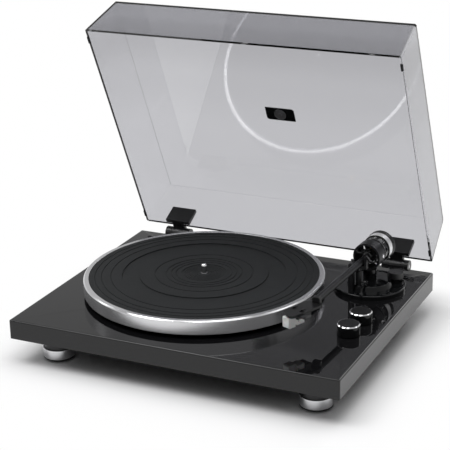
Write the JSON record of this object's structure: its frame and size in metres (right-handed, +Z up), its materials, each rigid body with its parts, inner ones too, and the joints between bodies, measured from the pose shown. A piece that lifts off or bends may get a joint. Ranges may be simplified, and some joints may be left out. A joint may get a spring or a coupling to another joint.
{
  "type": "turntable",
  "caption": "Belt-driven record player with a straight tonearm, round turned feet, two control knobs and a hinged clear dust cover standing open.",
  "frame": {"origin": "on the spindle's axis, level with the top of the platter mat, where the middle of a record lies", "axes": "+X right and +Y back along the plinth's sides, seen from the front, and +Z up along the spindle"},
  "size_m": [0.422, 0.4069, 0.3914],
  "materials": {
    "plinth_lacquer": "high gloss black lacquer on board",
    "black_plastic": "satin black moulded plastic",
    "black_metal": "satin black enamel",
    "graphite_metal": "satin graphite grey anodised aluminium",
    "head_metal": "satin black painted casting",
    "polished_aluminium": "polished and lightly brushed",
    "chrome": "bright chrome",
    "steel": "plain machined steel",
    "brass": "turned brass",
    "rubber": "matt black rubber",
    "board_green": "solder-masked circuit board",
    "clear_cover": "lightly smoked clear acrylic",
    "white_plastic": "translucent white plastic",
    "dial_plastic": "black with white scale numbers",
    "cast_weight": "satin black painted casting"
  },
  "bodies": {
    "base": {"plinth": "plinth_lacquer", "bottom_cover": "black_metal", "bottom_cover_screws": "steel", "foot_front_left": "black_plastic", "foot_front_right": "black_plastic", "foot_rear_left": "black_plastic", "foot_rear_right": "black_plastic", "foot_rings": "polished_aluminium", "foot_pads": "rubber", "bearing_housing": "polished_aluminium", "bearing_bush": "brass", "thrust_ball": "steel", "motor": "steel", "motor_screws": "steel", "drive_belt": "rubber", "rotary_switches": "black_plastic", "control_board": "board_green", "terminal_panel": "black_plastic", "rca_jacks": "brass", "dc_socket": "black_plastic", "arm_base": "black_plastic", "arm_turret": "black_metal", "arm_base_nut": "steel", "arm_bearings": "steel", "arm_rest_post": "black_plastic", "lift_cylinder": "black_plastic", "hinge_base_left": "black_plastic", "hinge_base_right": "black_plastic", "hinge_pins": "steel"},
    "platter": {"platter": "polished_aluminium", "platter_mat": "rubber", "spindle": "chrome"},
    "motor_rotor": {"motor_shaft": "steel", "motor_pulley": "brass"},
    "cover": {"dust_cover": "clear_cover", "hinge_leaf_left": "black_plastic", "hinge_leaf_right": "black_plastic", "cover_bumpers": "rubber", "cover_plate": "black_plastic"},
    "arm_yoke": {"gimbal_housing": "graphite_metal", "gimbal_screws": "chrome"},
    "tonearm": {"arm_tube": "graphite_metal", "arm_hub": "black_metal", "headshell": "head_metal", "finger_lift": "black_metal", "cartridge": "black_plastic", "stylus_holder": "white_plastic", "stylus_guard": "white_plastic"},
    "weight_carriage": {"weight_insert": "brass"},
    "counterweight": {"counterweight": "cast_weight", "counterweight_band": "chrome"},
    "force_dial": {"force_dial": "dial_plastic"},
    "anti_skate_knob": {"anti_skate_knob": "black_plastic"},
    "cue_lever": {"cue_lever": "black_metal"},
    "lift_bar": {"lift_bar": "black_metal"},
    "rest_clip": {"rest_clip": "black_plastic"},
    "speed_knob": {"speed_knob": "black_plastic", "speed_knob_ring": "chrome"},
    "function_knob": {"function_knob": "black_plastic", "function_knob_ring": "chrome"}
  },
  "joints": [
    {"name": "platter_spin", "type": "hinge", "parent": "base", "child": "platter", "pos_m": [0, 0, 0], "axis": [0, 0, 1], "continuous": true},
    {"name": "motor_spin", "type": "hinge", "parent": "base", "child": "motor_rotor", "pos_m": [-0.059, 0.10219, -0.0156], "axis": [0, 0, 1], "continuous": true},
    {"name": "cover_hinge", "type": "hinge", "parent": "base", "child": "cover", "pos_m": [0.0355, 0.171, -0.0236], "axis": [-1, 0, 0], "range_deg": [-65, 0]},
    {"name": "arm_swing", "type": "hinge", "parent": "base", "child": "arm_yoke", "pos_m": [0.1877, 0.0845, 0.0214], "axis": [0, 0, -1], "range_deg": [0, 46]},
    {"name": "arm_lift", "type": "hinge", "parent": "arm_yoke", "child": "tonearm", "pos_m": [0.1877, 0.0845, 0.0214], "axis": [-0.9989, 0.0471, 0], "range_deg": [0, 8]},
    {"name": "counterweight_travel", "type": "slide", "parent": "tonearm", "child": "weight_carriage", "axis": [0.0471, 0.9989, 0], "range_m": [0, 0.0075]},
    {"name": "counterweight_turn", "type": "hinge", "parent": "weight_carriage", "child": "counterweight", "pos_m": [0.1877, 0.0845, 0.0214], "axis": [0.0471, 0.9989, 0], "range_deg": [0, 1081]},
    {"name": "force_dial_turn", "type": "hinge", "parent": "counterweight", "child": "force_dial", "pos_m": [0.1877, 0.0845, 0.0214], "axis": [0.0471, 0.9989, 0], "continuous": true},
    {"name": "anti_skate_turn", "type": "hinge", "parent": "base", "child": "anti_skate_knob", "pos_m": [0.2147, 0.1045, -0.0076], "axis": [0, 0, 1], "range_deg": [0, 270]},
    {"name": "cue_lever_turn", "type": "hinge", "parent": "base", "child": "cue_lever", "pos_m": [0.19056, 0.06232, -0.0076], "axis": [-0.9989, 0.0471, 0], "range_deg": [0, 30]},
    {"name": "lift_bar_slide", "type": "slide", "parent": "base", "child": "lift_bar", "axis": [0, 0, 1], "range_m": [-0.0061, 0]},
    {"name": "rest_clip_turn", "type": "hinge", "parent": "base", "child": "rest_clip", "pos_m": [0.19273, 0.05643, 0.02745], "axis": [0.0471, 0.9989, 0], "range_deg": [-215, 0]},
    {"name": "speed_knob_turn", "type": "hinge", "parent": "base", "child": "speed_knob", "pos_m": [0.2131, -0.0583, -0.0146], "axis": [0, 0, 1], "range_deg": [-45, 45]},
    {"name": "function_knob_turn", "type": "hinge", "parent": "base", "child": "function_knob", "pos_m": [0.2138, -0.0191, -0.0146], "axis": [0, 0, 1], "range_deg": [-60, 60]}
  ],
  "couplings": [
    {"joint": "motor_spin", "follows": "platter_spin", "ratio": 12.597},
    {"joint": "counterweight_turn", "follows": "counterweight_travel", "rad_per_m": 2513.3},
    {"joint": "lift_bar_slide", "follows": "cue_lever_turn", "m_per_rad": -0.011459}
  ]
}
